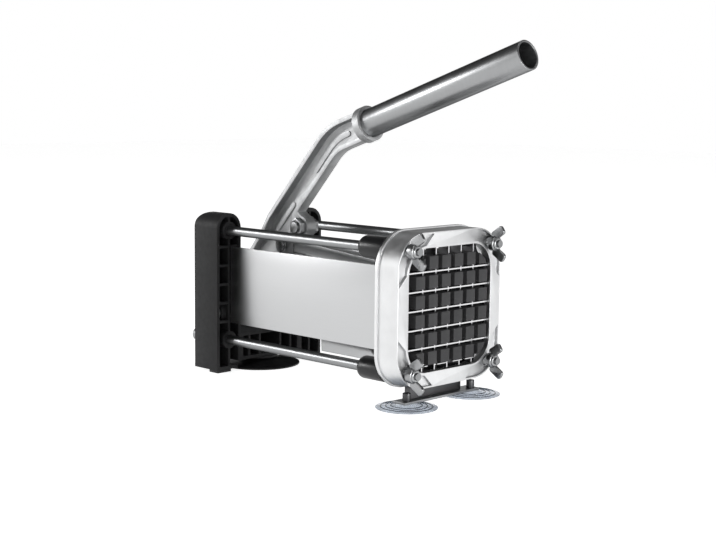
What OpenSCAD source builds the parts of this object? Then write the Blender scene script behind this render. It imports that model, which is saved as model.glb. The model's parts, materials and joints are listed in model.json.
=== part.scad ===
// Lever-operated french fry cutter: ribbed rear housing on a rubber suction disc, four tie rods
// to a cast front frame with a blade grid, a steel trough, and a finger pusher that a lever
// pushes through two links.  Millimetres, +Z up, front towards -Y, origin on the table under
// the rear disc's centre.  It is drawn as photographed: lever down, pusher fully forward.

/* [Cutting grid] */
// Square strips across and up the grid
strips = 6; // [5:1:6]
// Edge of the opening beyond the outermost strips
grid_edge = 3.4; // [3:0.1:4]
// Thickness of one blade
blade_t = 0.9; // [0.7:0.1:1.2]
// Depth of a blade, front to back
blade_d = 9; // [7:0.5:9]
// Gap between two pusher fingers
finger_gap = 4; // [3.4:0.1:5]

/* [Overall] */
// Blade plane to the rear disc's centre
body_len = 191; // [180:1:205]
// Height of the front frame's underside above the table
frame_low = 13; // [12.5:0.5:16]
// Side of the square front frame
frame_w = 104; // [103:0.5:108]
// Depth of the front frame
frame_d = 19.5; // [18:0.5:22]
// Outer corner radius of the front frame
frame_r = 25; // [22:0.5:26]
// Width of the frame's face beside the opening
face_w = 10.5; // [10:0.5:11]

/* [Tie rods] */
// Rod distance from the frame's outer faces
rod_in = 11.3; // [11:0.1:11.6]
// Rod diameter
rod_d = 7; // [6.6:0.1:7.6]
// Diameter of the spacer sleeves behind the frame
sleeve_d = 15.5; // [13:0.1:15.8]
// Length of the spacer sleeves
sleeve_len = 23.1; // [18:0.1:28]

/* [Trough] */
// Distance of the side panels from the frame's outer faces
trough_in = 12; // [11.5:0.1:12.2]
// Sheet thickness
sheet_t = 1.2; // [0.8:0.1:1.5]
// Gap between the panels' top edge and the upper rods' bosses
trough_gap = 2.8; // [1:0.1:6]
// Distance that the floor reaches back from the blade plane
floor_len = 81; // [60:1:100]

/* [Rear housing] */
// Depth, front to back
house_d = 26; // [24:0.5:32]
// Distance of the ears' round tops above the upper rods
ear_top = 12.9; // [12.5:0.1:14]
// Width of one ear
ear_w = 22.8; // [22:0.2:24]
// Wall of the moulding
wall = 2.4; // [1.8:0.1:3]

/* [Lever] */
// Length of the handle tube
tube_len = 148; // [110:1:180]
// Diameter of the handle tube
tube_d = 20; // [19:0.1:21]
// Wall of the handle tube
tube_wall = 1.4; // [1:0.1:2]
// Width of the cast lever arm
arm_w = 21.4; // [20:0.1:23]
// Thickness of the lever arm
arm_t = 9; // [8:0.1:9]
// Height of a link bar
link_h = 12.4; // [11.5:0.1:13]

/* [Suction feet] */
// Gap round the rear disc, beside the ears
disc_gap = 2; // [1.5:0.5:4]
// Diameter of a front cup
cup_d = 42; // [36:1:44]

/* [Hidden] */
$fn = 64;
eps = 0.01;
thru = 20;                               // reach of a cut through the lever's parts
run = 0.05;                              // radial clearance of a running fit
grid_z = frame_low + frame_w / 2;        // grid's centre above the table
open_w = frame_w - 2 * face_w;           // frame's square opening
open_r = 18;
pitch = (open_w - 2 * grid_edge) / strips;
finger_w = pitch - finger_gap;
rod_off = frame_w / 2 - rod_in;          // rods from the grid's centre, both ways
trough_w = frame_w - 2 * trough_in;
y_grid = -body_len;
frame_lip = 2.3;                         // frame's face stands in front of the blades
y_face = y_grid - frame_lip;
y_back = y_face + frame_d;
plate_t = 5;                             // front plate of the frame casting
y_plate = y_face + plate_t;
pocket_d = 2.5;                          // corner pockets under the wing nuts
y_pocket = y_face + pocket_d;
frame_wall = 3.7;
cav_half = frame_w / 2 - frame_wall;
boss_r = 9;                              // rod bosses in the frame's corners
trough_top = rod_off - boss_r - trough_gap;
bead_out = 1.2;
bead_len = 2.5;
cart_t = 9.3;                            // plate of the blade cartridge
y_cart = y_plate + cart_t;
cart_gap = 0.4;
cell_half = strips * pitch / 2;          // half of the clear grid
cart_half = open_w / 2 - 0.2;            // half of the cartridge's opening
cart_r = 28;
bite = 2;                                // how far a blade sits in the cartridge
blade_half = cart_half + bite;
stud_r = 2.5;                            // threaded rod ends
screw_r = 3;                             // threads through the housing
stud_front = 10;
rod_x = [-rod_off, rod_off];
rod_zs = [grid_z - rod_off, grid_z + rod_off];
rod_r = rod_d / 2;
h_half = house_d / 2;
ear_r = ear_w / 2;
house_w = 2 * (rod_off + 0.6 + ear_r);   // over both ears, which stand round the rods
house_h = grid_z + rod_off + ear_top;
ear_in = house_w / 2 - ear_w;            // inner face of an ear
house_z = 2.2;                           // underside of the housing
arch_half = ear_in + 3.1;                // room for the disc under the housing
arch_z = 7.5;
slot_z = 28;                             // top of the box between the ears
rib_t = 1.8;
rib_n = 5;
rib_pitch = (2 * rod_off + 2) / (rib_n + 1);
box_ribs = [-0.7, -0.35, 0.35, 0.7];     // ribs in the box, as shares of its half width
back_t = 3;
fillet_r = 8;
axle_r = 5;
axle_half = house_w / 2 - wall - 4.3;
clip_room = 3.2;                         // space for a clip beside the axle's boss
piv = [-1, 44];                          // lever's axle, as [y, z]
pin_a = [-35, 94.7];                     // upper link pin
pin_b = [y_grid + 33, grid_z + 18.6];    // pin in the pusher's lug
link_len = norm(pin_a - pin_b);
link_tilt = atan2(pin_a[1] - pin_b[1], pin_a[0] - pin_b[0]);
link_t = 4;
link_x = 5;                              // inner face of a link
pin_r = 4;
hub_r = 13;
tube_tilt = 18.4;
leg_tilt = 48;
collar_c = [-116, 186];                  // collar's centre on the tube's axis
collar_r = tube_d / 2 + 2.8;
collar_len = 6;
collar_back = 5;                         // collar's rear face behind its centre mark
tube_seat = 2;                           // collar behind the tube's end
bend_c = [-81.7, 174.6];                 // where the leg's and the tube's axes meet
bend_r = 40;
rim = 3.2;                               // rim round the arm's recess
web_t = 2.5;
arm_half = arm_t / 2;
fing_len = 16.8;
y_fing = y_grid - 3.8;
y_base = y_fing + fing_len;
base_t = 6;
steel_t = 3;
y_steel = y_base + base_t;
y_lug = y_steel + steel_t;
side_gap = 1.3;
base_half = trough_w / 2 - sheet_t - side_gap;
crease = 11;                             // height of the trough's slanted corners
floor_z = grid_z - trough_w / 2 + 1;
crease_z = floor_z + crease;
bolt_c = [-50, 109];                     // through bolt in the arm's front boss
cup_x = frame_w / 2 - 19.4;
cup_y = y_face + frame_d / 2 - 1.05;
flange_z = 2.6;                          // underside of the front bracket

// ---- helpers ------------------------------------------------------------------------------

// an outline in x and z, drawn from y0 back to y1
module along_y(y0, y1) {
    translate([0, y1, 0])
        rotate([90, 0, 0])
            linear_extrude(y1 - y0)
                children();
}

// an outline in y and z, drawn from x0 to x1
module along_x(x0, x1) {
    translate([x0, 0, 0])
        rotate([90, 0, 90])
            linear_extrude(x1 - x0)
                children();
}

module cyl_y(x, z, y0, y1, r) {
    translate([x, y1, z])
        rotate([90, 0, 0])
            cylinder(h = y1 - y0, r = r);
}

module cyl_x(p, x0, x1, r) {
    translate([x0, p[0], p[1]])
        rotate([0, 90, 0])
            cylinder(h = x1 - x0, r = r);
}

module round_sq(half, r) {
    square([2 * (half - r), 2 * half], center = true);
    square([2 * half, 2 * (half - r)], center = true);
    for (sx = [-1, 1], sz = [-1, 1])
        translate([sx * (half - r), sz * (half - r)])
            circle(r);
}

module at_rods() {
    for (x = rod_x, z = rod_zs)
        translate([x, z])
            children();
}

module at_grid() {
    translate([0, grid_z])
        children();
}

module hex_y(x, z, y0, y1, across) {
    translate([x, y1, z])
        rotate([90, 0, 0])
            cylinder(h = y1 - y0, r = across / 2 / cos(30), $fn = 6);
}

module hex_x(p, x0, x1, across) {
    translate([x0, p[0], p[1]])
        rotate([0, 90, 0])
            cylinder(h = x1 - x0, r = across / 2 / cos(30), $fn = 6);
}

// ---- rear housing and its foot ------------------------------------------------------------

// outline of one ear, drawn in by the given amount
module ear_outline(sx, in) {
    c = sx * (ear_in + ear_r);
    low = house_z + in;
    mid = house_h - ear_r;
    translate([c - ear_r + in, low])
        square([ear_w - 2 * in, mid - low]);
    translate([c, mid])
        circle(ear_r - in);
}

module ears(y0, y1, in) {
    for (sx = [-1, 1])
        along_y(y0, y1)
            ear_outline(sx, in);
}

// side view with the rounded rear top edge
module housing_side(in) {
    y1 = h_half - in;
    top = house_h + eps;
    r = fillet_r - in;
    along_x(-house_w, house_w)
        union() {
            translate([-house_d, 0])
                square([house_d + y1, top - r]);
            translate([-house_d, 0])
                square([house_d + y1 - r, top - in]);
            translate([y1 - r, top - r - in])
                circle(r);
        }
}

module housing_shell() {
    difference() {
        intersection() {
            ears(-h_half, h_half, 0);
            housing_side(0);
        }
        intersection() {
            ears(-h_half - 1, h_half - back_t, wall);
            housing_side(back_t);
        }
    }
    difference() {
        translate([-ear_in - eps, -h_half, arch_z])
            cube([2 * (ear_in + eps), house_d, slot_z - arch_z]);
        translate([-ear_in + wall, -h_half - 1, arch_z + wall])
            cube([2 * (ear_in - wall), house_d - back_t + 1, slot_z - arch_z - 2 * wall]);
    }
}

module housing_ribs() {
    intersection() {
        ears(-h_half, h_half - 1, 1);
        union() {
            for (i = [1 : rib_n], sx = [-1, 1])
                translate([sx * (ear_in + ear_r) - ear_r, -h_half + 0.5,
                           rod_zs[0] + i * rib_pitch - rib_t / 2])
                    cube([ear_w, house_d - 1.5, rib_t]);
            for (sx = [-1, 1])
                translate([sx * rod_off - rib_t / 2, -h_half + 0.5, house_z])
                    cube([rib_t, house_d - 1.5, house_h]);
        }
    }
    for (share = box_ribs)
        translate([share * ear_in - rib_t / 2, -h_half + 0.5, arch_z + 1])
            cube([rib_t, house_d - 1, slot_z - arch_z - 2]);
}

module rear_housing() {
    color("#2e2e30")
        difference() {
            union() {
                housing_shell();
                housing_ribs();
                for (x = rod_x, z = rod_zs)
                    cyl_y(x, z, -h_half, h_half, rod_r + 3);
                for (sx = [-1, 1])
                    cyl_x(piv, sx > 0 ? ear_in : -axle_half, sx > 0 ? axle_half : -ear_in,
                          axle_r + 4);
            }
            for (x = rod_x, z = rod_zs)
                cyl_y(x, z, -house_d, house_d, rod_r);
            cyl_x(piv, -axle_half - 1, axle_half + 1, axle_r);
            for (sx = [-1, 1])
                translate([sx > 0 ? 0 : -axle_half - clip_room, 0, 0])
                    cyl_x(piv, sx > 0 ? axle_half : 0, sx > 0 ? axle_half + clip_room : clip_room,
                          axle_r + 3.4);
            translate([-arch_half, -house_d, 0])
                cube([2 * arch_half, 2 * house_d, arch_z]);
            cylinder(h = slot_z, r = screw_r);
        }
}

foot_w = 13;
foot_d = 10;

module housing_feet() {
    color("#1c1c1d")
        for (sx = [-1, 1])
            translate([sx * (house_w / 2 - 1 - foot_w / 2) - foot_w / 2, -h_half + 0.6, 0])
                cube([foot_w, foot_d, house_z]);
}

module rear_suction_disc() {
    r = arch_half - disc_gap;
    neck = arch_z - 2;
    color("#1d1d1e")
        rotate_extrude()
            polygon([[0, 0], [r, 0], [r, 1.2], [r - 6, 2.4], [15, 3.8], [11, neck - 0.6],
                     [11, neck], [14, neck], [14, arch_z], [0, arch_z]]);
}

module rear_disc_screw() {
    color("#8d8e90") {
        translate([0, 0, arch_z])
            cylinder(h = 8, r = screw_r);
        translate([0, 0, arch_z + wall])
            cylinder(h = 3.5, r = 5.5 / cos(30), $fn = 6);
    }
}

// ---- tie rods -----------------------------------------------------------------------------

rod_tail = 6.5;
nut_af = 10;
nut_t = 5;
dome_len = 11.5;                         // closed nuts on the lower rods

module tie_rods() {
    color("#c9cbcd")
        for (x = rod_x, z = rod_zs) {
            cyl_y(x, z, y_back - eps, h_half, rod_r);
            cyl_y(x, z, y_pocket - 1.5 - stud_front, y_back, stud_r);
            cyl_y(x, z, h_half - eps, h_half + rod_tail, screw_r);
        }
}

module rear_rod_nuts() {
    color("#6e6f71")
        difference() {
            union() {
                for (x = rod_x, z = rod_zs)
                    hex_y(x, z, h_half, h_half + nut_t, nut_af);
                for (x = rod_x)
                    cyl_y(x, rod_zs[0], h_half + nut_t - eps, h_half + dome_len, nut_af / 2);
            }
            for (x = rod_x, z = rod_zs)
                cyl_y(x, z, h_half - 1, h_half + rod_tail, screw_r);
        }
}

module rod_sleeves() {
    r = sleeve_d / 2;
    round_r = 4.5;
    color("#222223")
        for (x = rod_x, z = rod_zs)
            translate([x, y_back, z])
                rotate([-90, 0, 0])
                    rotate_extrude()
                        difference() {
                            union() {
                                translate([rod_r, 0])
                                    square([r - rod_r, sleeve_len - round_r]);
                                translate([rod_r, 0])
                                    square([r - rod_r - round_r + 1, sleeve_len]);
                                translate([r - round_r, sleeve_len - round_r])
                                    circle(round_r);
                            }
                            translate([-sleeve_d, -1])
                                square([sleeve_d + rod_r, sleeve_len + 2]);
                        }
}

// ---- trough -------------------------------------------------------------------------------

// cross-section with slanted lower corners; "in" gives its inner face
module trough_section(in) {
    half = trough_w / 2 - in;
    cut = crease + in * (sqrt(2) - 1) - in;
    top = grid_z + trough_top + (in > 0 ? 1 : 0);
    polygon([[-half, top], [-half, floor_z + in + cut], [-half + cut, floor_z + in],
             [half - cut, floor_z + in], [half, floor_z + in + cut], [half, top]]);
}

tab_w = 9;
tab_h = 14;
tab_zs = [crease_z + 14, crease_z + 41]; // centres of the bent tabs

// plan of the open part behind the floor, slanted across the folded corners
module notch_plan() {
    half = trough_w / 2;
    y0 = y_grid + floor_len;
    polygon([[-trough_w, 0], [-trough_w, y0], [-half, y0], [-half + crease, y0 + crease],
             [half - crease, y0 + crease], [half, y0], [trough_w, y0], [trough_w, 0]]);
}

module at_tabs() {
    for (sx = [-1, 1], z = tab_zs)
        translate([sx * (trough_w - tab_w) / 2, -h_half - sheet_t, z])
            children();
}

module trough() {
    color("#b9bcbf") {
        difference() {
            along_y(y_cart, -h_half)
                trough_section(0);
            along_y(y_cart - 1, 1)
                trough_section(sheet_t);
            linear_extrude(crease_z)
                notch_plan();
        }
        at_tabs()
            translate([-tab_w / 2, 0, -tab_h / 2])
                cube([tab_w, sheet_t, tab_h]);
    }
}

module trough_screws() {
    color("#8d8e90")
        at_tabs()
            cyl_y(0, 0, -1.6, 0, 2.6);
}

// ---- front frame, cartridge and blades ----------------------------------------------------

pocket_rim = 1.2;
pocket_edge = 1.8;                       // rim between a pocket and the opening
pocket_in = 6.7;                         // rod's distance from the slanted edge, along x and z

module corner_pockets() {
    along_y(y_face - 1, y_pocket)
        at_grid()
            intersection() {
                round_sq(frame_w / 2 - pocket_rim, frame_r - pocket_rim);
                difference() {
                    for (a = [0 : 3])
                        rotate(45 + 90 * a)
                            translate([(rod_off - pocket_in) * sqrt(2), -frame_w / 2])
                                square([frame_w, frame_w]);
                    round_sq(open_w / 2 + pocket_edge, open_r + pocket_edge);
                }
            }
}

module front_frame() {
    bead_y = y_back - bead_len;
    color("#c3c6c9")
        difference() {
            union() {
                along_y(y_face, y_back)
                    at_grid()
                        round_sq(frame_w / 2, frame_r);
                along_y(bead_y, y_back)
                    at_grid()
                        round_sq(frame_w / 2 + bead_out, frame_r + bead_out);
            }
            difference() {
                along_y(y_plate, y_back + 1)
                    at_grid()
                        round_sq(cav_half, frame_r - frame_wall);
                along_y(y_plate - 1, y_back + 2)
                    at_rods()
                        circle(boss_r);
            }
            along_y(y_face - 1, y_plate + 1)
                at_grid()
                    round_sq(open_w / 2, open_r);
            corner_pockets();
            along_y(y_face - 1, y_back + 1)
                at_rods()
                    circle(stud_r);
        }
}

module all_vertical_blades(t, z_half) {
    for (i = [1 : strips - 1])
        translate([(i - strips / 2) * pitch - t / 2, y_grid, grid_z - z_half])
            cube([t, blade_d, 2 * z_half]);
}

module all_horizontal_blades(t, x_half) {
    for (i = [1 : strips - 1])
        translate([-x_half, y_grid, grid_z + (i - strips / 2) * pitch - t / 2])
            cube([2 * x_half, blade_d, t]);
}

module blade_cartridge() {
    color("#202021")
        difference() {
            along_y(y_plate, y_cart)
                at_grid()
                    round_sq(cav_half - cart_gap, frame_r - frame_wall - cart_gap);
            along_y(y_plate - 1, y_cart + 1) {
                at_grid()
                    round_sq(cart_half, cart_r);
                at_rods()
                    circle(boss_r + cart_gap);
            }
            all_vertical_blades(blade_t, blade_half);
            all_horizontal_blades(blade_t, blade_half);
        }
}

// the blades' shoulders pass behind the frame's plate
module shoulder_cut() {
    half = cart_half - 0.1;
    along_y(y_grid - 1, y_plate + 0.2)
        at_grid()
            difference() {
                square([frame_w, frame_w], center = true);
                square([2 * half, 2 * half], center = true);
            }
}

// the two sets cross in half-depth slots
module vertical_blades() {
    color("#d6d8da")
        difference() {
            all_vertical_blades(blade_t, blade_half);
            translate([0, blade_d / 2, 0])
                all_horizontal_blades(blade_t, frame_w);
            shoulder_cut();
        }
}

module horizontal_blades() {
    color("#d6d8da")
        difference() {
            all_horizontal_blades(blade_t, blade_half);
            translate([0, -blade_d / 2, 0])
                all_vertical_blades(blade_t, frame_w);
            shoulder_cut();
        }
}

// ---- wing nuts ----------------------------------------------------------------------------

washer_t = 1;
washer_r = 4.2;
wing_t = 2.4;
nut_gap = 0.3;
nut_h = 8.5;
wing_turn = -4;
hub_low = 4.1;                           // the hub's foot, inside the pocket's rim

module wing_washers() {
    color("#9fa1a3")
        difference() {
            for (x = rod_x, z = rod_zs)
                cyl_y(x, z, y_pocket - washer_t, y_pocket, washer_r);
            for (x = rod_x, z = rod_zs)
                cyl_y(x, z, y_face - 5, y_pocket + 1, stud_r);
        }
}

module wing_outline() {
    tip = [8, 10.6];
    polygon([[3, 1.8], [6.2, 2.2], [tip[0] + 3.2, tip[1] - 1.1], [tip[0] - 2.4, tip[1] + 2.4],
             [3, 7.2]]);
    translate(tip)
        circle(3.4);
}

module wing_nut(x, z) {
    color("#b4b6b8")
        translate([x, y_pocket - washer_t - nut_gap, z])
            rotate([90, wing_turn, 0])
                difference() {
                    union() {
                        cylinder(h = 3, r = hub_low);
                        translate([0, 0, 1.8])
                            cylinder(h = nut_h - 3.3, r1 = 5.4, r2 = 4.7);
                        translate([0, 0, nut_h - 1.5 - eps])
                            cylinder(h = 1.5, r1 = 4.7, r2 = 3.9);
                        for (a = [90, 270])
                            rotate([0, 0, a])
                                rotate([90, 0, 0])
                                    translate([0, 0, -wing_t / 2])
                                        linear_extrude(wing_t)
                                            wing_outline();
                    }
                    translate([0, 0, -1])
                        cylinder(h = 20, r = stud_r + run);
                }
}

module wing_nut_1() {
    wing_nut(-rod_off, rod_zs[1]);
}

module wing_nut_2() {
    wing_nut(rod_off, rod_zs[1]);
}

module wing_nut_3() {
    wing_nut(rod_off, rod_zs[0]);
}

module wing_nut_4() {
    wing_nut(-rod_off, rod_zs[0]);
}

// ---- front feet ---------------------------------------------------------------------------

bracket_t = 1.6;                         // flange of the bracket
web_y = cup_y + 3.3;                     // front of its upright bar, behind the cups
web_back = y_back - bead_len - 0.3;
web_half = cup_x - 6.6;
flange_half = cup_x + 5.4;
flange_y = cup_y - 3.6;
screw_x = cup_x - 18.6;
bracket_screw_r = 1.5;
stud_top = 5.6;                          // cup studs above the flange

module front_bracket() {
    deck = flange_z + bracket_t;
    color("#5b5d5f")
        difference() {
            union() {
                translate([-flange_half, flange_y, flange_z])
                    cube([2 * flange_half, web_back - flange_y, bracket_t]);
                translate([-web_half, web_y, deck - eps])
                    cube([2 * web_half, web_back - web_y, frame_low - deck + eps]);
            }
            for (sx = [-1, 1])
                translate([sx * cup_x, cup_y, 0])
                    cylinder(h = frame_low, r = stud_r);
            for (sx = [-1, 1])
                translate([sx * screw_x, (web_y + web_back) / 2, 0])
                    cylinder(h = frame_low + 1, r = bracket_screw_r);
        }
}

module bracket_screws() {
    head_h = 1.6;
    color("#2a2a2b")
        for (sx = [-1, 1])
            translate([sx * screw_x, (web_y + web_back) / 2, flange_z - head_h]) {
                cylinder(h = head_h, r = bracket_screw_r + 1.3);
                cylinder(h = frame_low - flange_z + head_h, r = bracket_screw_r);
            }
}

module front_cup(sx) {
    r = cup_d / 2;
    color([0.86, 0.88, 0.9, 0.55])
        translate([sx * cup_x, cup_y, 0])
            difference() {
                rotate_extrude()
                    polygon([[0, 0], [r, 0], [r, 0.6], [r - 5, 1.1], [9, 1.8], [7, flange_z],
                             [0, flange_z]]);
                translate([0, 0, 1])
                    cylinder(h = flange_z, r = stud_r);
            }
}

module front_cup_left() {
    front_cup(-1);
}

module front_cup_right() {
    front_cup(1);
}

module cup_screws() {
    color("#2a2a2b")
        for (sx = [-1, 1])
            translate([sx * cup_x, cup_y, 0]) {
                translate([0, 0, 1])
                    cylinder(h = flange_z + bracket_t - 1 + eps, r = stud_r);
                translate([0, 0, flange_z + bracket_t])
                    cylinder(h = stud_top, r = stud_r + 0.3);
            }
}

// ---- lever --------------------------------------------------------------------------------

spacer_gap = 0.5;

module lever_axle() {
    color("#9fa1a3")
        cyl_x(piv, -axle_half - 2.4, axle_half + 2.4, axle_r);
}

module axle_spacers() {
    color("#2a2a2b")
        difference() {
            for (sx = [-1, 1])
                cyl_x(piv, sx > 0 ? arm_half + spacer_gap : -ear_in,
                      sx > 0 ? ear_in : -arm_half - spacer_gap, axle_r + 3);
            cyl_x(piv, -axle_half, axle_half, axle_r);
        }
}

module axle_clips() {
    color("#9fa1a3")
        difference() {
            for (sx = [-1, 1])
                cyl_x(piv, sx > 0 ? axle_half : -axle_half - 1.4, sx > 0 ? axle_half + 1.4 : -axle_half,
                      axle_r + 3);
            cyl_x(piv, -axle_half - 3, axle_half + 3, axle_r);
        }
}

// the arm's axis runs from the leg round the bend to the tube
leg_up = [-cos(leg_tilt), sin(leg_tilt)];
leg_n = [sin(leg_tilt), cos(leg_tilt)];
tube_fwd = [-cos(tube_tilt), sin(tube_tilt)];
tube_n = [sin(tube_tilt), cos(tube_tilt)];
bend_reach = bend_r * tan((leg_tilt - tube_tilt) / 2);
bend_mid = bend_c - bend_reach * leg_up - bend_r * leg_n;
bend_steps = 14;

function bend_angle(i) = 90 - leg_tilt + (leg_tilt - tube_tilt) * i / bend_steps;

function bend_edge(h) =
    [for (i = [0 : bend_steps])
        bend_mid + (bend_r + h) * [cos(bend_angle(i)), sin(bend_angle(i))]];

function back(list) = [for (i = [len(list) - 1 : -1 : 0]) list[i]];

// upper edge from the bend to the tip, then the lower edge back, h from the axis
function bow_edge(h, cut) =
    let (tip = collar_c - cut * tube_fwd)
    concat(bend_edge(h), [tip + h * tube_n, tip - h * tube_n], back(bend_edge(-h)));

// the leg's edge h from its axis, at height z
function leg_edge(h, z) =
    let (on = bend_c * leg_n + h)
    [(on - z * leg_n[1]) / leg_n[0], z];

module arm_outline() {
    half = arm_w / 2;
    polygon(concat([piv + [12.2, 1], [11.5, 70], [8.5, 85], [-7.2, 104.6],
                    leg_edge(half, 115.5)],
                   bow_edge(half, 4),
                   [leg_edge(-half, 118), [-44, 112], [-44, 92], piv + [-11.5, -4], piv]));
    polygon([[-52.5, 115.8], [-42, 124], [-38, 100], [-46.5, 102.6]]);
    translate(piv)
        circle(hub_r);
    translate(bolt_c)
        circle(8);
}

module arm_recess() {
    half = arm_w / 2 - rim;
    difference() {
        polygon(concat([piv + [8.5, 8], [8, 70], [5.4, 84], [-9.8, 102.6],
                        leg_edge(half, 113)],
                       bow_edge(half, 6),
                       [leg_edge(-half, 119), [-40.7, 114], [-40.7, 93], piv + [-9.5, 6]]));
        translate(piv)
            circle(hub_r);
        translate(pin_a)
            circle(8);
        translate(bolt_c)
            circle(8.2);
    }
}

// raised long ovals on the web: one low on the leg, one round the bend
oval_half = 2.1;
cap_steps = 8;

// a half round end about p, from the given angle on
function cap(p, turn) =
    [for (i = [0 : cap_steps])
        let (a = turn + 180 * i / cap_steps)
        p + oval_half * [cos(a), sin(a)]];

module arm_ovals() {
    low = leg_edge(0, 105.6);
    low_end = low + 25 * leg_up;
    up = leg_edge(0, 151);
    tip = collar_c - 24 * tube_fwd;
    polygon(concat(cap(low, 270 - leg_tilt), cap(low_end, 90 - leg_tilt)));
    polygon(concat(cap(up, 270 - leg_tilt), bend_edge(oval_half), cap(tip, 90 - tube_tilt),
                   back(bend_edge(-oval_half))));
}

module on_tube() {
    translate([0, collar_c[0], collar_c[1]])
        rotate([90 - tube_tilt, 0, 0])
            children();
}

module lever_arm() {
    color("#a9abae")
        difference() {
            union() {
                along_x(-arm_half, arm_half)
                    arm_outline();
                on_tube()
                    translate([0, 0, -collar_back])
                        cylinder(h = collar_len, r = collar_r);
            }
            difference() {
                along_x(-arm_half - 1, arm_half - web_t)
                    arm_recess();
                along_x(arm_half - web_t - 0.8, arm_half)
                    arm_ovals();
            }
            on_tube()
                translate([0, 0, -collar_back + tube_seat])
                    cylinder(h = collar_len, r = tube_d / 2);
            cyl_x(piv, -thru, thru, axle_r + run);
            cyl_x(pin_a, -thru, thru, pin_r);
            cyl_x(bolt_c, -thru, thru, pin_r);
        }
}

module handle_tube() {
    color("#a4a6a9")
        on_tube()
            translate([0, 0, -collar_back + tube_seat])
                difference() {
                    cylinder(h = tube_len, r = tube_d / 2);
                    translate([0, 0, -1])
                        cylinder(h = tube_len + 2, r = tube_d / 2 - tube_wall);
                }
}

pin_half = link_x + link_t + 2;

module link_pin_upper() {
    color("#8d8e90")
        cyl_x(pin_a, -pin_half, pin_half, pin_r);
}

module link_pin_clips() {
    clip_x = link_x + link_t + 0.4;
    color("#707274")
        difference() {
            for (sx = [-1, 1])
                cyl_x(pin_a, sx > 0 ? clip_x : -clip_x - 0.9, sx > 0 ? clip_x + 0.9 : -clip_x,
                      pin_r + 1.6);
            cyl_x(pin_a, -thru, thru, pin_r);
        }
}

bolt_head = 4;

module arm_bolt() {
    color("#8d8e90") {
        cyl_x(bolt_c, -arm_half - 6.5, arm_half, pin_r);
        hex_x(bolt_c, arm_half, arm_half + bolt_head, 12);
    }
}

module arm_bolt_nut() {
    color("#77797b")
        difference() {
            hex_x(bolt_c, -arm_half - 4.8, -arm_half, 12);
            cyl_x(bolt_c, -thru, 0, pin_r);
        }
}

// ---- links --------------------------------------------------------------------------------

eye_r = 7;
link_web = 2.4;

module link_outline(in) {
    half = link_h / 2 - in;
    translate(pin_b)
        rotate(link_tilt) {
            translate([in * 4, -half])
                square([link_len - in * 8, 2 * half]);
            if (in == 0)
                for (s = [0, link_len])
                    translate([s, 0])
                        circle(eye_r);
        }
}

module link_bar(sx) {
    color("#9b9da0")
        difference() {
            along_x(sx > 0 ? link_x : -link_x - link_t, sx > 0 ? link_x + link_t : -link_x)
                link_outline(0);
            along_x(sx > 0 ? link_x + link_web : -link_x - link_t - 1,
                    sx > 0 ? link_x + link_t + 1 : -link_x - link_web)
                link_outline(3);
            cyl_x(pin_a, -thru, thru, pin_r + run);
            cyl_x(pin_b, -thru, thru, 3);
        }
}

module link_near() {
    link_bar(-1);
}

module link_far() {
    link_bar(1);
}

module link_rivets() {
    out = link_x + link_t;
    color("#8d8e90")
        for (sx = [-1, 1]) {
            cyl_x(pin_b, sx > 0 ? link_x : -out, sx > 0 ? out : -link_x, 3);
            cyl_x(pin_b, sx > 0 ? out : -out - 1.6, sx > 0 ? out + 1.6 : -out, 4.6);
        }
}

// ---- pusher -------------------------------------------------------------------------------

lug_half = 4.4;
lug_up = 10;                             // lug's foot above and below its pin
lug_down = 24;
base_low = floor_z + sheet_t + 0.7;
base_r = 12.2;                           // clears the frame's bosses
base_cut = crease - 0.6;
hole_zs = [grid_z + base_half - 11.5, grid_z - base_half / 2 + 4.4];

module base_outline() {
    difference() {
        at_grid()
            round_sq(base_half, base_r);
        translate([-frame_w, base_low - 50])
            square([2 * frame_w, 50]);
        for (sx = [-1, 1])
            translate([sx * base_half, base_low])
                rotate(45)
                    square([base_cut * sqrt(2), base_cut * sqrt(2)], center = true);
    }
}

module pusher_block() {
    first = -(strips - 1) / 2;
    color("#1e1e1f") {
        along_y(y_fing, y_base + eps)
            intersection() {
                at_grid()
                    round_sq(cell_half - (pitch - finger_w) / 2, 14);
                for (i = [0 : strips - 1], j = [0 : strips - 1])
                    translate([(first + i) * pitch, grid_z + (first + j) * pitch])
                        square([finger_w, finger_w], center = true);
            }
        difference() {
            along_y(y_base, y_steel)
                base_outline();
            pusher_holes();
        }
    }
}

module pusher_holes() {
    for (sx = [-1, 1], z = hole_zs)
        cyl_y(sx * (base_half - 11.5), z, y_base + 1, y_lug + 1, 2);
}

module pusher_plate() {
    color("#8f9193")
        difference() {
            along_y(y_steel, y_lug)
                intersection() {
                    base_outline();
                    at_grid()
                        round_sq(base_half - 3, base_r - 2);
                }
            pusher_holes();
        }
}

module pusher_lug() {
    color("#8f9193")
        difference() {
            union() {
                along_x(-lug_half, lug_half) {
                    polygon([[y_lug, pin_b[1] - lug_down], [y_lug, pin_b[1] + lug_up],
                             pin_b + [1, 6.6], pin_b + [1, -6.6]]);
                    translate(pin_b)
                        circle(6.6);
                }
                translate([-14, y_lug, pin_b[1] - lug_down])
                    cube([28, 2.5, lug_down + lug_up]);
            }
            cyl_x(pin_b, -thru, thru, 3);
        }
}

module pusher_pin() {
    color("#8d8e90")
        cyl_x(pin_b, -lug_half, lug_half, 3);
}

module pusher_screws() {
    color("#77797b")
        for (sx = [-1, 1], z = hole_zs) {
            cyl_y(sx * (base_half - 11.5), z, y_base + 1, y_lug, 2);
            cyl_y(sx * (base_half - 11.5), z, y_lug, y_lug + 2, 4);
        }
}

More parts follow.
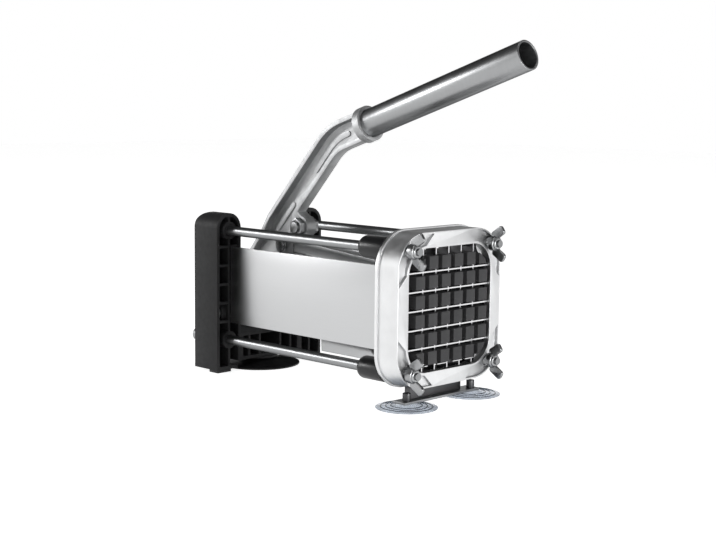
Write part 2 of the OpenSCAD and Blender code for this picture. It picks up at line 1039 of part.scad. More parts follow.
rear_housing();
housing_feet();
rear_suction_disc();
rear_disc_screw();
tie_rods();
rear_rod_nuts();
rod_sleeves();
trough();
trough_screws();
front_frame();
blade_cartridge();
vertical_blades();
horizontal_blades();
wing_washers();
wing_nut_1();
wing_nut_2();
wing_nut_3();
wing_nut_4();
front_bracket();
bracket_screws();
front_cup_left();
front_cup_right();
cup_screws();
lever_axle();
axle_spacers();
axle_clips();
lever_arm();
handle_tube();
link_pin_upper();
link_pin_clips();
arm_bolt();
arm_bolt_nut();
link_near();
link_far();
link_rivets();
pusher_block();
pusher_plate();
pusher_lug();
pusher_pin();
pusher_screws();
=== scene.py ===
import json
import math

import bpy
from bpy.props import FloatProperty, FloatVectorProperty, IntProperty, PointerProperty
from mathutils import Matrix, Vector


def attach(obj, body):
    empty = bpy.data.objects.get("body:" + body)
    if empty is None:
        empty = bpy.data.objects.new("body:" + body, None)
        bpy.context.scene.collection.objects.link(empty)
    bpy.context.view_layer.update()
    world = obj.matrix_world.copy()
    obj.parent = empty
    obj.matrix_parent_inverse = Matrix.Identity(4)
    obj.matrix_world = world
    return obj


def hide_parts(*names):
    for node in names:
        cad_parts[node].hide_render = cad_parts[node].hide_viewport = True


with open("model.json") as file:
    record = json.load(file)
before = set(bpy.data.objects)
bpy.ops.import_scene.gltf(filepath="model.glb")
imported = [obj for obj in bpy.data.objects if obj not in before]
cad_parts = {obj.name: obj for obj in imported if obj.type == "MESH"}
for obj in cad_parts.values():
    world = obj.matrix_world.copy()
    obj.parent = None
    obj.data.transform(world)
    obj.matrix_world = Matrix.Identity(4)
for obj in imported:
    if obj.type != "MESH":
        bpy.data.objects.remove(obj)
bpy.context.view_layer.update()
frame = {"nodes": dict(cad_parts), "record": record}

NODES = frame["nodes"]
MM = 0.001

# turned parts of a wing nut: radius, front and back end in front of its seat, rounding, in mm
NUT_HUB = (5.2, -7.2, -1.8, 0.9)
NUT_CROWN = (4.3, -8.6, -5.0, 1.0)
NUT_FOOT = (4.1, -3.0, 0.0, 0.0)
WING_SLANT = math.radians(56.0)      # wings forward from the seat's plane
WING_ROOT = (4.0, 4.4)               # wing's inner end before the seat and from the axis, mm
NUT_TURN = math.radians(-4.0)        # wings off upright, as in the photograph
CUP_RINGS = ((10.5, 1.55), (14.0, 1.15), (17.5, 0.85))  # radius and height of rings on a cup, mm
TUBE_TILT = math.radians(18.4)       # handle tube above level
WHITE = (1.0, 1.0, 1.0, 1.0)

WELD = 0.002 * MM                    # points of a CAD mesh closer than this are one
FLAT = math.radians(0.4)             # faces of a CAD mesh within this angle are one
SHARP = 40.0                         # degrees from which an edge of a CAD copy stays sharp

bl_info = {
    "name": "French fry cutter",
    "version": (1, 0, 0),
    "blender": (4, 5, 0),
    "location": "3D View > Sidebar > Fry cutter",
    "description": "Dresses the packed fry cutter in its cast, sheet, tube and moulded finishes",
    "category": "Object",
}


# ---- settings -------------------------------------------------------------------------------

def length(label, text, mm):
    """A length property with its default given in millimetres."""
    return FloatProperty(name=label, description=text, default=mm * MM, min=0.0,
                         unit="LENGTH", precision=5)


def colour(label, text, rgb):
    """A colour property."""
    return FloatVectorProperty(name=label, description=text, default=(*rgb, 1.0), size=4,
                               min=0.0, max=1.0, subtype="COLOR")


class CutterEdges(bpy.types.PropertyGroup):
    """How far each kind of piece has its edges rounded."""
    casting: length("Casting", "Edge rounding of the front frame casting", 0.9)
    arm: length("Arm", "Edge rounding of the cast lever arm", 0.5)
    wing: length("Wing nut", "Edge rounding of a wing nut's wings", 0.55)
    moulding: length("Moulding", "Edge rounding of the rear housing", 0.8)
    finger: length("Finger", "Edge rounding of the pusher's fingers", 0.45)
    bar: length("Bar", "Edge rounding of the links, bracket and lug", 0.5)
    sheet: length("Sheet", "Edge rounding of the trough's sheet", 0.25)
    small: length("Small parts", "Edge rounding of nuts, bolts and screws", 0.35)
    rounding: IntProperty(name="Rounding", description="Segments of a rounded edge", default=3,
                          min=1, max=6)


class CutterSizes(bpy.types.PropertyGroup):
    """Sizes of what is added in the scene, and the places in the model that it follows."""
    grid_z: length("Grid height", "Centre of the blade grid above the table", 65.0)
    blade_y: length("Blade plane", "Blade plane in front of the rear disc's centre", 191.0)
    pitch: length("Pitch", "Distance from blade to blade", 12.7)
    rod_off: length("Rod distance", "Tie rods from the grid's centre, both ways", 40.7)
    nut_y: length("Wing nut seat", "Seat of the wing nuts in front of the rear disc", 192.1)
    stud_r: length("Stud bore", "Radius of the bore through a wing nut", 2.56)
    wing_w: length("Wing width", "Width of one wing of a wing nut", 6.4)
    wing_l: length("Wing length", "Length of one wing of a wing nut", 11.0)
    wing_t: length("Wing thickness", "Thickness of one wing of a wing nut", 2.3)
    wing_r: length("Wing corner", "Corner radius of one wing of a wing nut", 2.0)
    tab_t: length("Tab thickness", "Sheet thickness of the grid's small tabs", 0.6)
    tab_d: length("Tab depth", "Depth of the grid's small tabs", 3.0)
    tab_y: length("Tab place", "Middle of the tabs in front of the blade plane", 1.2)
    tab_up: length("Tab height", "Tabs above the grid's lower edge", 1.1)
    tab_end: length("Short tab", "Length of the tab beside the rounded corner", 3.0)
    cup_x: length("Cup distance", "Front cups from the middle", 32.6)
    cup_y: length("Cup place", "Front cups in front of the rear disc's centre", 184.6)
    cup_ring: length("Cup ring", "Radius of the moulded rings' section on a cup", 0.45)
    flange_z: length("Flange", "Top of the front bracket's flange", 4.3)
    ear_in: length("Ear faces", "Inner faces of the ears from the middle", 29.8)
    box_top: length("Box top", "Top of the box between the ears", 28.0)
    web_top: length("Web top", "Top of the web in front of the lever's hub", 36.0)
    web_t: length("Web", "Thickness of that web", 1.4)
    web_y: length("Web place", "Middle of the web in front of the rear disc's centre", 12.2)
    web_in: length("Web foot", "How far the web goes down into the box", 1.0)


class CutterColours(bpy.types.PropertyGroup):
    """Base colours of the finishes."""
    casting: colour("Casting", "Front frame casting", (0.68, 0.685, 0.69))
    arm: colour("Arm", "Cast lever arm and links", (0.45, 0.455, 0.46))
    tube: colour("Tube", "Handle tube", (0.32, 0.325, 0.33))
    sheet: colour("Sheet", "Stainless trough", (0.49, 0.495, 0.50))
    rod: colour("Rods", "Tie rods and axle", (0.28, 0.285, 0.29))
    zinc: colour("Zinc", "Plated nuts, bolts and screws", (0.33, 0.335, 0.34))
    blade: colour("Blades", "Ground edges of the steel strips", (0.74, 0.74, 0.75))
    # Painted shade: the flat sides are the same steel as the edges, darkened to stand in for the
    # shade and dark reflections inside the grid.
    flank: colour("Blade flanks", "Flat sides of the steel strips", (0.16, 0.16, 0.165))
    moulding: colour("Moulding", "Rear housing", (0.021, 0.021, 0.022))
    rubber: colour("Rubber", "Rear disc and feet", (0.008, 0.008, 0.009))
    pusher: colour("Pusher", "Pusher block and fingers", (0.055, 0.055, 0.057))
    cartridge: colour("Cartridge", "Blade cartridge", (0.005, 0.005, 0.006))
    sleeve: colour("Sleeves", "Spacer sleeves on the rods", (0.010, 0.010, 0.011))
    # Real blackened steel on the screws; on the bracket bar this colour is painted shade, not a
    # blackened finish.
    dark: colour("Dark steel", "Blackened screws, and painted shade on the bracket bar", (0.09, 0.09, 0.093))
    vinyl: colour("Clear vinyl", "Front suction cups", (0.15, 0.17, 0.20))


# ---- materials ------------------------------------------------------------------------------

class Nodes:
    """Builds one material's node tree in a few words."""

    def __init__(self, name):
        self.material = bpy.data.materials.new(name)
        self.material.use_nodes = True
        self.tree = self.material.node_tree
        self.shader = self.tree.nodes["Principled BSDF"]
        self.coords = self.tree.nodes.new("ShaderNodeTexCoord").outputs["Object"]

    def add(self, kind, **values):
        """A node with its sockets or settings filled in."""
        node = self.tree.nodes.new("ShaderNode" + kind)
        for key, value in values.items():
            socket = key.replace("_", " ")
            if socket in node.inputs:
                node.inputs[socket].default_value = value
            else:
                setattr(node, key, value)
        return node

    def link(self, out, into):
        self.tree.links.new(out, into)

    def stretched(self, scale, turn=(0.0, 0.0, 0.0)):
        """Object coordinates scaled differently along each axis."""
        node = self.add("Mapping")
        node.inputs["Scale"].default_value = scale
        node.inputs["Rotation"].default_value = turn
        self.link(self.coords, node.inputs["Vector"])
        return node.outputs["Vector"]

    def noise(self, scale, detail=3.0, vector=None, rough=0.55):
        """A noise in the object's own space, or along vector."""
        node = self.add("TexNoise", Scale=scale, Detail=detail, Roughness=rough)
        self.link(vector or self.coords, node.inputs["Vector"])
        return node.outputs["Fac"]

    def ramp(self, value, low, high, start=0.3, end=0.7):
        """value spread between two numbers."""
        node = self.add("MapRange")
        numbers = {"From Min": start, "From Max": end, "To Min": low, "To Max": high}
        for key, number in numbers.items():
            node.inputs[key].default_value = number
        self.link(value, node.inputs["Value"])
        return node.outputs["Result"]

    def shade(self, rgb, value, spread, start=0.3, end=0.7):
        """The base colour, lighter and darker by spread where value goes up and down."""
        node = self.add("ValToRGB")
        dark = [c * (1 - spread) for c in rgb[:3]]
        light = [min(c * (1 + spread), 1.0) for c in rgb[:3]]
        node.color_ramp.elements[0].position = start
        node.color_ramp.elements[1].position = end
        node.color_ramp.elements[0].color = (*dark, 1.0)
        node.color_ramp.elements[1].color = (*light, 1.0)
        self.link(value, node.inputs["Fac"])
        self.link(node.outputs["Color"], self.shader.inputs["Base Color"])

    def bump(self, *layers, into=None):
        """Bump from (height, distance in mm) layers, one after another."""
        normal = None
        for height, mm in layers:
            node = self.add("Bump", Strength=1.0, Distance=mm * MM)
            self.link(height, node.inputs["Height"])
            if normal:
                self.link(normal, node.inputs["Normal"])
            normal = node.outputs["Normal"]
        self.link(normal, self.shader.inputs["Normal"])

    def set(self, **values):
        """Constant values of the shader's sockets."""
        for key, value in values.items():
            self.shader.inputs[key.replace("_", " ")].default_value = value
        return self

    def rough(self, value):
        """The roughness, from a value."""
        self.link(value, self.shader.inputs["Roughness"])


def background_rays(tree):
    """1 for rays from the camera, from metal and through clear parts, else 0."""
    rays = tree.nodes.new("ShaderNodeLightPath").outputs
    value = rays["Is Camera Ray"]
    for kind in ("Is Glossy Ray", "Is Transmission Ray"):
        either = tree.nodes.new("ShaderNodeMath")
        either.operation = "MAXIMUM"
        tree.links.new(value, either.inputs[0])
        tree.links.new(rays[kind], either.inputs[1])
        value = either.outputs[0]
    return value


def cast_metal(name, rgb, low, high, grain_mm, blotch=0.05, cloud_mm=0.012):
    """Die-cast metal, shot-blasted: fine grain, faint cloudy patches."""
    m = Nodes(name).set(Metallic=1.0, Specular_Tint=(0.45, 0.45, 0.45, 1.0))
    clouds = m.noise(60.0, 4.0)
    grain = m.noise(2600.0, 2.0)
    m.shade(rgb, clouds, blotch)
    m.rough(m.ramp(m.noise(220.0, 3.0), low, high))
    m.bump((clouds, cloud_mm), (grain, grain_mm))
    return m.material


def brushed_metal(name, rgb, low, high, along, line_mm=0.004, spread=0.05):
    """Metal with fine brush lines along one axis."""
    m = Nodes(name).set(Metallic=1.0, Specular_Tint=(0.6, 0.6, 0.6, 1.0))
    scale = [1.0 if axis == along else 90.0 for axis in range(3)]
    lines = m.noise(40.0, 5.0, m.stretched(scale), 0.7)
    m.shade(rgb, lines, spread)
    m.rough(m.ramp(m.noise(25.0, 3.0, m.stretched(scale)), low, high))
    m.bump((lines, line_mm))
    return m.material


def turned_metal(name, rgb, low, high, tilt=0.0, line_mm=0.003, spread=0.04):
    """A tube or bar with polishing marks round it; tilt turns its axis up from -Y."""
    m = Nodes(name).set(Metallic=1.0, Specular_Tint=(0.10, 0.10, 0.10, 1.0))
    turned = m.stretched((12.0, 900.0, 12.0), (tilt, 0.0, 0.0))
    marks = m.noise(1.0, 4.0, turned, 0.65)
    m.shade(rgb, marks, spread)
    m.rough(m.ramp(m.noise(80.0, 3.0), low, high))
    m.bump((marks, line_mm))
    return m.material


def moulded_plastic(name, rgb, low, high, grain_mm, shine=0.2, grain=1500.0):
    """Moulded plastic with a spark-eroded grain."""
    m = Nodes(name).set(Specular_IOR_Level=shine)
    m.shade(rgb, m.noise(45.0, 3.0), 0.10)
    m.rough(m.ramp(m.noise(300.0, 3.0), low, high))
    m.bump((m.noise(grain, 2.0), grain_mm))
    return m.material


def soft_rubber(name, rgb):
    """Black rubber with a dull bloom."""
    m = Nodes(name).set(Specular_IOR_Level=0.35)
    m.shade(rgb, m.noise(70.0, 4.0), 0.25)
    m.rough(m.ramp(m.noise(160.0, 3.0), 0.42, 0.6))
    m.bump((m.noise(900.0, 2.0), 0.01))
    return m.material


def clear_vinyl(name, rgb):
    """Clear soft vinyl."""
    m = Nodes(name).set(Transmission_Weight=0.9, IOR=1.42)
    m.shade(rgb, m.noise(170.0, 3.0), 0.45)
    m.rough(m.ramp(m.noise(120.0, 2.0), 0.05, 0.12))
    m.bump((m.noise(110.0, 2.0), 0.25))
    return m.material


FINISHES = {}


def make_finishes(c):
    """All finishes, from the scene's colours."""
    FINISHES.update(
        casting=cast_metal("casting", c.casting, 0.36, 0.46, 0.004),
        arm=cast_metal("arm_casting", c.arm, 0.46, 0.58, 0.03, 0.14, 0.03),
        link=cast_metal("link_bar", c.arm, 0.34, 0.46, 0.008, 0.08),
        sheet=brushed_metal("brushed_sheet", c.sheet, 0.29, 0.30, 1, 0.0001, 0.02),
        plate=brushed_metal("plain_plate", c.rod, 0.30, 0.42, 2),
        blade=brushed_metal("ground_blade", c.blade, 0.18, 0.28, 0),
        # The flank finish is painted shade: the blade's own steel, made much darker.
        flank=brushed_metal("blade_flank_painted_shade", c.flank, 0.30, 0.42, 0),
        rod=turned_metal("drawn_rod", c.rod, 0.34, 0.40, 0.0, 0.0010, 0.03),
        tube=turned_metal("satin_tube", c.tube, 0.30, 0.38, TUBE_TILT, 0.0015, 0.03),
        zinc=cast_metal("zinc_plate", c.zinc, 0.24, 0.38, 0.004, 0.08),
        # Real black oxide on the screws, painted shade on the bracket's web.
        dark=cast_metal("black_oxide_and_painted_shade", c.dark, 0.35, 0.5, 0.004, 0.15),
        moulding=moulded_plastic("black_moulding", c.moulding, 0.46, 0.60, 0.03),
        sleeve=moulded_plastic("black_sleeve", c.sleeve, 0.28, 0.40, 0.012, 0.4),
        cartridge=moulded_plastic("black_cartridge", c.cartridge, 0.34, 0.46, 0.012),
        pusher=moulded_plastic("pusher_plastic", c.pusher, 0.44, 0.58, 0.02),
        rubber=soft_rubber("black_rubber", c.rubber),
        vinyl=clear_vinyl("clear_vinyl", c.vinyl),
    )


# ---- modelling helpers ----------------------------------------------------------------------

def deselect():
    """Leaves object mode with nothing selected."""
    if bpy.context.object and bpy.context.object.mode != "OBJECT":
        bpy.ops.object.mode_set(mode="OBJECT")
    bpy.ops.object.select_all(action="DESELECT")


def select(obj):
    """Makes obj the only selected object."""
    deselect()
    obj.select_set(True)
    bpy.context.view_layer.objects.active = obj


def finish(obj, finish_name, body, slot_name, sharp=35.0):
    """Places obj's shape in its mesh, shades it, gives it its finish and its body."""
    select(obj)
    bpy.ops.object.transform_apply(location=True, rotation=True, scale=True)
    bpy.ops.object.shade_smooth_by_angle(angle=math.radians(sharp))
    obj.data.materials.clear()
    obj.data.materials.append(FINISHES[finish_name])
    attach(obj, body)
    return obj


def placed(obj, name):
    """Names obj and moves its place and turn into its mesh."""
    obj.name = obj.data.name = name
    select(obj)
    bpy.ops.object.transform_apply(location=True, rotation=True, scale=True)
    return obj


def box(name, size, at, turn=(0.0, 0.0, 0.0)):
    """A box of the given size about a point."""
    deselect()
    bpy.ops.mesh.primitive_cube_add(size=1.0, location=at, rotation=turn)
    bpy.context.object.scale = size
    return placed(bpy.context.object, name)


def cylinder(name, r, y0, y1, at=(0.0, 0.0), sides=40):
    """A cylinder along Y from y0 back to y1, about x and z."""
    deselect()
    bpy.ops.mesh.primitive_cylinder_add(vertices=sides, radius=r, depth=y1 - y0,
                                        location=(at[0], (y0 + y1) / 2, at[1]),
                                        rotation=(math.radians(90), 0.0, 0.0))
    return placed(bpy.context.object, name)


def modified(obj, kind, **values):
    """Applies one modifier to obj."""
    select(obj)
    change = obj.modifiers.new(kind.lower(), kind)
    for key, value in values.items():
        setattr(change, key, value)
    bpy.ops.object.modifier_apply(modifier=change.name)
    return obj


def rounded(obj, width, segments=3, angle=30.0):
    """Rounds obj's edges that are sharper than angle."""
    return modified(obj, "BEVEL", width=width, segments=segments, limit_method="ANGLE",
                    angle_limit=math.radians(angle), use_clamp_overlap=True)


def merged(obj, others, operation="UNION"):
    """Joins the others to obj, or cuts them out of it."""
    for other in others:
        modified(obj, "BOOLEAN", object=other, operation=operation, solver="EXACT")
        bpy.data.objects.remove(other)
    return obj


def copied(obj, name, at, turn=(0.0, 0.0, 0.0)):
    """A copy of obj with its own mesh, turned and then moved."""
    twin = bpy.data.objects.new(name, obj.data.copy())
    bpy.context.scene.collection.objects.link(twin)
    twin.location, twin.rotation_euler = at, turn
    return placed(twin, name)


def body_and_slot(node):
    """The CAD body and the record's material slot of a CAD node."""
    record = frame["record"]
    body = next(b for b, names in record["behaviour"]["bodies"].items() if node in names)
    slot = next(s["material_slot"] for s in record["subparts"] if s["node"] == node)
    return body, slot


def soften(node, width, finish_name, rounding, angle=32.0):
    """Stands for a CAD node with a copy whose edges are rounded by width."""
    name = node + "_dressed"
    obj = bpy.data.objects.new(name, NODES[node].data.copy())
    bpy.context.scene.collection.objects.link(obj)
    obj.data.name = name
    select(obj)
    bpy.ops.object.mode_set(mode="EDIT")
    bpy.ops.mesh.select_all(action="SELECT")
    bpy.ops.mesh.customdata_custom_splitnormals_clear()
    bpy.ops.mesh.remove_doubles(threshold=WELD)
    bpy.ops.mesh.dissolve_limited(angle_limit=FLAT)
    bpy.ops.object.mode_set(mode="OBJECT")
    for attribute in ("sharp_edge", "sharp_face"):
        if attribute in obj.data.attributes:
            obj.data.attributes.remove(obj.data.attributes[attribute])
    if width:
        modified(obj, "BEVEL", width=width, segments=rounding, limit_method="ANGLE",
                 angle_limit=math.radians(angle), use_clamp_overlap=True,
                 miter_outer="MITER_ARC")
    body, slot = body_and_slot(node)
    finish(obj, finish_name, body, slot, SHARP)
    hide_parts(node)
    return obj


def second_finish(obj, finish_name, wanted):
    """Another finish on the faces of obj for which wanted(face) holds."""
    obj.data.materials.append(FINISHES[finish_name])
    for face in obj.data.polygons:
        if wanted(face):
            face.material_index = 1


def keep(node, finish_name):
    """A CAD node that stays as it is, in its finish."""
    obj = NODES[node]
    obj.data.materials.clear()
    obj.data.materials.append(FINISHES[finish_name])


# ---- pieces ---------------------------------------------------------------------------------

class CutterPiece:
    """What every piece operator shares."""
    bl_options = {"REGISTER", "UNDO"}

    @property
    def edges(self):
        return bpy.context.scene.cutter_edges

    @property
    def sizes(self):
        return bpy.context.scene.cutter_sizes

    def soften(self, node, edge, finish_name, angle=32.0):
        return soften(node, getattr(self.edges, edge), finish_name, self.edges.rounding, angle)


class CUTTER_OT_finishes(bpy.types.Operator):
    """Makes the finishes from the scene's colours"""
    bl_idname = "cutter.finishes"
    bl_label = "Finishes"

    def execute(self, context):
        make_finishes(context.scene.cutter_colours)
        return {"FINISHED"}


class CUTTER_OT_front_frame(CutterPiece, bpy.types.Operator):
    """Rounds the cast front frame's edges"""
    bl_idname = "cutter.front_frame"
    bl_label = "Front frame"

    def execute(self, context):
        self.soften("front_frame", "casting", "casting")
        return {"FINISHED"}


class CUTTER_OT_grid(CutterPiece, bpy.types.Operator):
    """Dresses the cartridge and the blades, and adds the tabs under the lowest strips"""
    bl_idname = "cutter.grid"
    bl_label = "Blade grid"

    def execute(self, context):
        self.soften("blade_cartridge", "sheet", "cartridge")
        for node, across in (("vertical_blades", 0), ("horizontal_blades", 2)):
            strips = soften(node, 0.0, "blade", 1)
            # Painted shade: faces turned across the strip get the dark flank finish because they
            # lie in the grid's shade, not because they are a different steel.
            second_finish(strips, "flank", lambda face, a=across: abs(face.normal[a]) > 0.7)
        z = self.sizes
        y, low = -z.blade_y - z.tab_y, z.grid_z - 3 * z.pitch + z.tab_up
        reach = z.pitch - z.tab_end
        tabs = []
        spans = ((-2, 1, z.tab_end), (-1, 1, reach), (1, -1, reach), (2, -1, reach))
        for blade, way, span in spans:
            x = blade * z.pitch + way * span / 2
            tabs.append(box("tab", (span, z.tab_d, z.tab_t), (x, y, low)))
        obj = merged(tabs[0], tabs[1:])
        obj.name = obj.data.name = "grid_tabs"
        rounded(obj, 0.12 * MM, 2)
        finish(obj, "blade", "base", "blade_steel")
        return {"FINISHED"}


class CUTTER_OT_wing_nuts(CutterPiece, bpy.types.Operator):
    """Models one wing nut, sets it on the four studs and dresses the washers"""
    bl_idname = "cutter.wing_nuts"
    bl_label = "Wing nuts"

    def turned(self, r, y0, y1, edge):
        """A round part of the nut, sizes in mm."""
        part = cylinder("turned", r * MM, y0 * MM, y1 * MM)
        return rounded(part, edge * MM, 4) if edge else part

    def nut(self):
        """A wing nut on the Y axis, its seat at the origin and its wings up and down."""
        z = self.sizes
        hub, crown, foot = (self.turned(*part) for part in (NUT_HUB, NUT_CROWN, NUT_FOOT))
        wings = []
        for side in (1, -1):
            along = Vector((0.0, -math.sin(WING_SLANT), side * math.cos(WING_SLANT)))
            root = Vector((0.0, -WING_ROOT[0], side * WING_ROOT[1])) * MM
            middle = root + along * (z.wing_l / 2)
            wing = box("wing", (z.wing_t, z.wing_w, z.wing_l), (0.0, 0.0, 0.0))
            self.round_corners(wing, z.wing_r)
            rounded(wing, self.edges.wing, 3, 50.0)
            wing.rotation_euler = Vector((0, 0, 1)).rotation_difference(along).to_euler()
            wing.location = middle
            wings.append(placed(wing, "wing"))
        nut = merged(hub, [crown, foot, *wings])
        return merged(nut, [cylinder("bore", z.stud_r, -20 * MM, 5 * MM)], "DIFFERENCE")

    def round_corners(self, wing, r):
        """Rounds the four corners of a wing's outline."""
        select(wing)
        bpy.ops.object.mode_set(mode="EDIT")
        bpy.ops.mesh.select_mode(type="EDGE")
        bpy.ops.mesh.select_all(action="DESELECT")
        bpy.ops.object.mode_set(mode="OBJECT")
        for edge in wing.data.edges:
            a, b = (wing.data.vertices[v].co for v in edge.vertices)
            edge.select = abs(a.x - b.x) > 0.5 * self.sizes.wing_t
        bpy.ops.object.mode_set(mode="EDIT")
        bpy.ops.mesh.bevel(offset=r, segments=5, affect="EDGES")
        bpy.ops.object.mode_set(mode="OBJECT")

    def execute(self, context):
        z = self.sizes
        nut = self.nut()
        turn = (0.0, NUT_TURN, 0.0)
        corners = ((-1, 1), (1, 1), (1, -1), (-1, -1))
        for i, (sx, sz) in enumerate(corners, 1):
            at = (sx * z.rod_off, -z.nut_y, z.grid_z + sz * z.rod_off)
            twin = copied(nut, f"wing_nut_{i}_dressed", at, turn)
            finish(twin, "zinc", *body_and_slot(f"wing_nut_{i}"), SHARP)
            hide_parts(f"wing_nut_{i}")
        bpy.data.objects.remove(nut)
        keep("wing_washers", "zinc")
        return {"FINISHED"}


class CUTTER_OT_front_feet(CutterPiece, bpy.types.Operator):
    """Dresses the bracket and the clear suction cups, and adds the cups' moulded rings"""
    bl_idname = "cutter.front_feet"
    bl_label = "Front feet"

    def execute(self, context):
        z = self.sizes
        bracket = self.soften("front_bracket", "bar", "plate")
        # Painted shade: the web above the flange is the same steel as the light flange. It gets
        # the dark finish only because it lies in shade under the frame.
        second_finish(bracket, "dark", lambda face: face.center.z > z.flange_z)
        self.soften("bracket_screws", "small", "dark")
        self.soften("cup_screws", "small", "dark")
        for side, sx in (("left", -1), ("right", 1)):
            self.soften(f"front_cup_{side}", "sheet", "vinyl")
            rings = []
            for r, height in CUP_RINGS:
                deselect()
                bpy.ops.mesh.primitive_torus_add(
                    major_segments=96, minor_segments=12, major_radius=r * MM,
                    minor_radius=z.cup_ring, location=(sx * z.cup_x, -z.cup_y, height * MM))
                rings.append(placed(bpy.context.object, f"cup_ring_{side}"))
            ring = merged(rings[0], rings[1:])
            finish(ring, "vinyl", "base", "clear_vinyl")
        return {"FINISHED"}


class CUTTER_OT_rear_housing(CutterPiece, bpy.types.Operator):
    """Rounds the ribbed rear housing, adds its web and dresses its feet and suction disc"""
    bl_idname = "cutter.rear_housing"
    bl_label = "Rear housing"

    def execute(self, context):
        self.soften("rear_housing", "moulding", "moulding")
        z = self.sizes
        foot = z.box_top - z.web_in
        web = box("housing_web", (2 * z.ear_in, z.web_t, z.web_top - foot),
                  (0.0, -z.web_y, (z.web_top + foot) / 2))
        finish(rounded(web, 0.4 * MM, 2), "moulding", "base", "housing_plastic")
        self.soften("housing_feet", "bar", "rubber")
        self.soften("rear_suction_disc", "bar", "rubber")
        self.soften("rear_disc_screw", "small", "zinc")
        return {"FINISHED"}


class CUTTER_OT_rods(CutterPiece, bpy.types.Operator):
    """Dresses the tie rods, their nuts and the spacer sleeves"""
    bl_idname = "cutter.rods"
    bl_label = "Tie rods"

    def execute(self, context):
        soften("tie_rods", 0.0, "rod", 1)
        soften("lever_axle", 0.0, "rod", 1)
        self.soften("rod_sleeves", "small", "sleeve")
        self.soften("axle_spacers", "small", "sleeve")
        self.soften("axle_clips", "small", "zinc")
        self.soften("rear_rod_nuts", "small", "zinc")
        return {"FINISHED"}


class CUTTER_OT_trough(CutterPiece, bpy.types.Operator):
    """Dresses the steel trough and its screws"""
    bl_idname = "cutter.trough"
    bl_label = "Trough"

    def execute(self, context):
        self.soften("trough", "sheet", "sheet")
        self.soften("trough_screws", "small", "zinc")
        return {"FINISHED"}


class CUTTER_OT_lever(CutterPiece, bpy.types.Operator):
    """Rounds the cast arm and dresses the handle tube, pin and bolt"""
    bl_idname = "cutter.lever"
    bl_label = "Lever"

    def execute(self, context):
        self.soften("lever_arm", "arm", "arm")
        self.soften("handle_tube", "sheet", "tube")
        for node in ("link_pin_upper", "link_pin_clips", "arm_bolt", "arm_bolt_nut"):
            self.soften(node, "small", "zinc")
        return {"FINISHED"}


class CUTTER_OT_links(CutterPiece, bpy.types.Operator):
    """Rounds the two link bars and their rivets"""
    bl_idname = "cutter.links"
    bl_label = "Links"

    def execute(self, context):
        for node in ("link_near", "link_far"):
            self.soften(node, "bar", "link")
        self.soften("link_rivets", "small", "zinc")
        return {"FINISHED"}


class CUTTER_OT_pusher(CutterPiece, bpy.types.Operator):
    """Rounds the pusher's fingers and dresses its plate, lug and screws"""
    bl_idname = "cutter.pusher"
    bl_label = "Pusher"

    def execute(self, context):
        self.soften("pusher_block", "finger", "pusher")
        self.soften("pusher_plate", "sheet", "plate")
        self.soften("pusher_lug", "bar", "plate")
        self.soften("pusher_pin", "small", "zinc")
        self.soften("pusher_screws", "small", "zinc")
        return {"FINISHED"}


# ---- stage ----------------------------------------------------------------------------------

AIM = (0.0, -0.09, 0.08)                   # what the lamps point at
LAMPS = (                                  # name, place, size, power
    ("key", (-1.3, 1.4, 0.65), (0.45, 0.45), 13.0),
    ("front", (0.0, -1.4, 0.12), (0.2, 0.15), 7.5),
    ("top", (0.1, -0.4, 1.6), (0.8, 0.5), 6.0),
)
FLOOR_SIZE = 8.0
FLOOR_GLOW = 0.85                          # of the floor, for the background's rays only
WORLD_LEVEL = 0.75                         # of the world, for all other rays
HORIZON_TO = 0.16                          # heights between which the world turns dim
CEILING_FROM = 0.50
CEILING = (0.08, 0.08, 0.08, 1.0)

CAMERA_AT = (-0.7121, -0.8075, 0.2063)
CAMERA_AZIMUTH = -45.425
CAMERA_ELEVATION = 7.090
CAMERA_ROLL = 0.596
CAMERA_LENS = 71.11


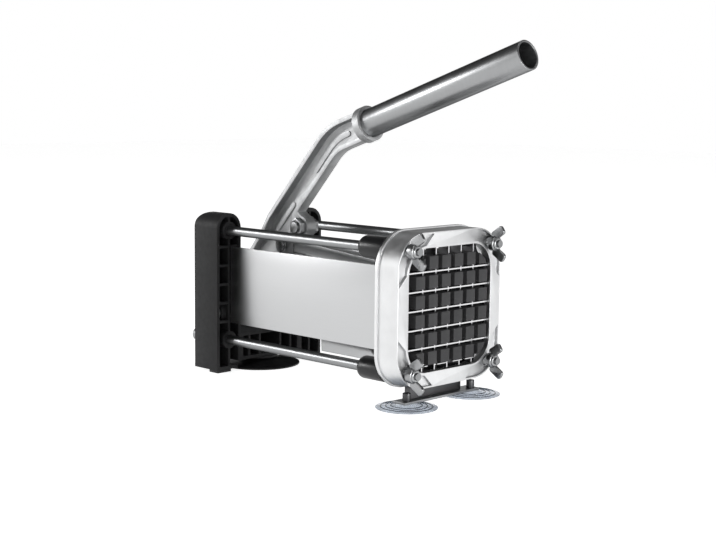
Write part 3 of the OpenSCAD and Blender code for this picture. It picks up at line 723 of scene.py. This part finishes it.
class CUTTER_OT_stage(bpy.types.Operator):
    """Sets the pale floor, the soft lamps, the world and the camera"""
    bl_idname = "cutter.stage"
    bl_label = "Stage"

    def floor(self):
        """A white floor that glows for the background's rays and keeps the shadow."""
        deselect()
        bpy.ops.mesh.primitive_plane_add(size=FLOOR_SIZE, location=(0.0, 0.0, 0.0))
        floor = bpy.context.object
        floor.name = "floor"
        m = Nodes("floor_white")
        m.shade((0.90, 0.90, 0.90, 1.0), m.noise(3.0, 2.0), 0.004)
        m.set(Roughness=0.9, Specular_IOR_Level=0.1, Emission_Color=WHITE)
        glow = m.add("Math", operation="MULTIPLY")
        m.link(background_rays(m.tree), glow.inputs[0])
        glow.inputs[1].default_value = FLOOR_GLOW
        m.link(glow.outputs[0], m.shader.inputs["Emission Strength"])
        floor.data.materials.append(m.material)

    def world(self):
        """White round the horizon, a dim ceiling between the lamps."""
        world = bpy.data.worlds.new("studio")
        world.use_nodes = True
        tree = world.node_tree
        background = tree.nodes["Background"]
        coords, split, ceiling, level = (
            tree.nodes.new("ShaderNode" + kind)
            for kind in ("TexCoord", "SeparateXYZ", "ValToRGB", "MapRange"))
        level.inputs["To Min"].default_value = WORLD_LEVEL
        level.inputs["To Max"].default_value = 1.0
        tree.links.new(background_rays(tree), level.inputs["Value"])
        tree.links.new(coords.outputs["Generated"], split.inputs[0])
        ceiling.color_ramp.interpolation = "EASE"
        ends = zip(ceiling.color_ramp.elements, (HORIZON_TO, CEILING_FROM), (WHITE, CEILING))
        for end, height, shade in ends:
            end.position, end.color = height, shade
        tree.links.new(split.outputs["Z"], ceiling.inputs["Fac"])
        tree.links.new(ceiling.outputs["Color"], background.inputs["Color"])
        tree.links.new(level.outputs["Result"], background.inputs["Strength"])
        bpy.context.scene.world = world

    def lamp(self, name, at, size, power):
        """A soft lamp that points at the cutter."""
        data = bpy.data.lights.new(name, "AREA")
        data.shape = "RECTANGLE"
        data.size, data.size_y = size
        data.energy = power
        lamp = bpy.data.objects.new(name, data)
        bpy.context.scene.collection.objects.link(lamp)
        turn = (Vector(AIM) - Vector(at)).to_track_quat("-Z", "Y").to_matrix().to_4x4()
        lamp.matrix_world = Matrix.Translation(at) @ turn

    def camera(self):
        """The photograph's camera."""
        a, e, roll = (math.radians(v) for v in (CAMERA_AZIMUTH, CAMERA_ELEVATION, CAMERA_ROLL))
        back = Vector((math.sin(a) * math.cos(e), -math.cos(a) * math.cos(e), math.sin(e)))
        right = Vector((math.cos(a), math.sin(a), 0.0))
        up = back.cross(right)
        x = math.cos(roll) * right + math.sin(roll) * up
        y = -math.sin(roll) * right + math.cos(roll) * up
        data = bpy.data.cameras.new("camera")
        data.sensor_width = 36.0
        data.sensor_fit = "HORIZONTAL"
        data.lens = CAMERA_LENS
        camera = bpy.data.objects.new("camera", data)
        bpy.context.scene.collection.objects.link(camera)
        turn = Matrix((x, y, back)).transposed().to_4x4()
        camera.matrix_world = Matrix.Translation(CAMERA_AT) @ turn
        bpy.context.scene.camera = camera

    def execute(self, context):
        self.floor()
        self.world()
        for lamp in LAMPS:
            self.lamp(*lamp)
        self.camera()
        context.scene.view_settings.view_transform = "Standard"
        return {"FINISHED"}


# ---- add-on ---------------------------------------------------------------------------------

PIECES = (
    CUTTER_OT_finishes,
    CUTTER_OT_front_frame,
    CUTTER_OT_grid,
    CUTTER_OT_wing_nuts,
    CUTTER_OT_front_feet,
    CUTTER_OT_rear_housing,
    CUTTER_OT_rods,
    CUTTER_OT_trough,
    CUTTER_OT_lever,
    CUTTER_OT_links,
    CUTTER_OT_pusher,
    CUTTER_OT_stage,
)


class CUTTER_PT_panel(bpy.types.Panel):
    """Lists the cutter's pieces"""
    bl_idname = "CUTTER_PT_panel"
    bl_label = "Fry cutter"
    bl_space_type = "VIEW_3D"
    bl_region_type = "UI"
    bl_category = "Fry cutter"

    def draw(self, context):
        scene = context.scene
        for settings in (scene.cutter_edges, scene.cutter_sizes, scene.cutter_colours):
            for key in settings.__annotations__:
                self.layout.prop(settings, key)
        for piece in PIECES:
            self.layout.operator(piece.bl_idname)


CLASSES = (CutterEdges, CutterSizes, CutterColours, *PIECES, CUTTER_PT_panel)


def register():
    for cls in CLASSES:
        bpy.utils.register_class(cls)
    bpy.types.Scene.cutter_edges = PointerProperty(type=CutterEdges)
    bpy.types.Scene.cutter_sizes = PointerProperty(type=CutterSizes)
    bpy.types.Scene.cutter_colours = PointerProperty(type=CutterColours)


def unregister():
    del bpy.types.Scene.cutter_colours
    del bpy.types.Scene.cutter_sizes
    del bpy.types.Scene.cutter_edges
    for cls in reversed(CLASSES):
        bpy.utils.unregister_class(cls)


def main():
    register()
    for piece in PIECES:
        group, name = piece.bl_idname.split(".")
        getattr(getattr(bpy.ops, group), name)()
    deselect()


if __name__ == "__main__":
    main()
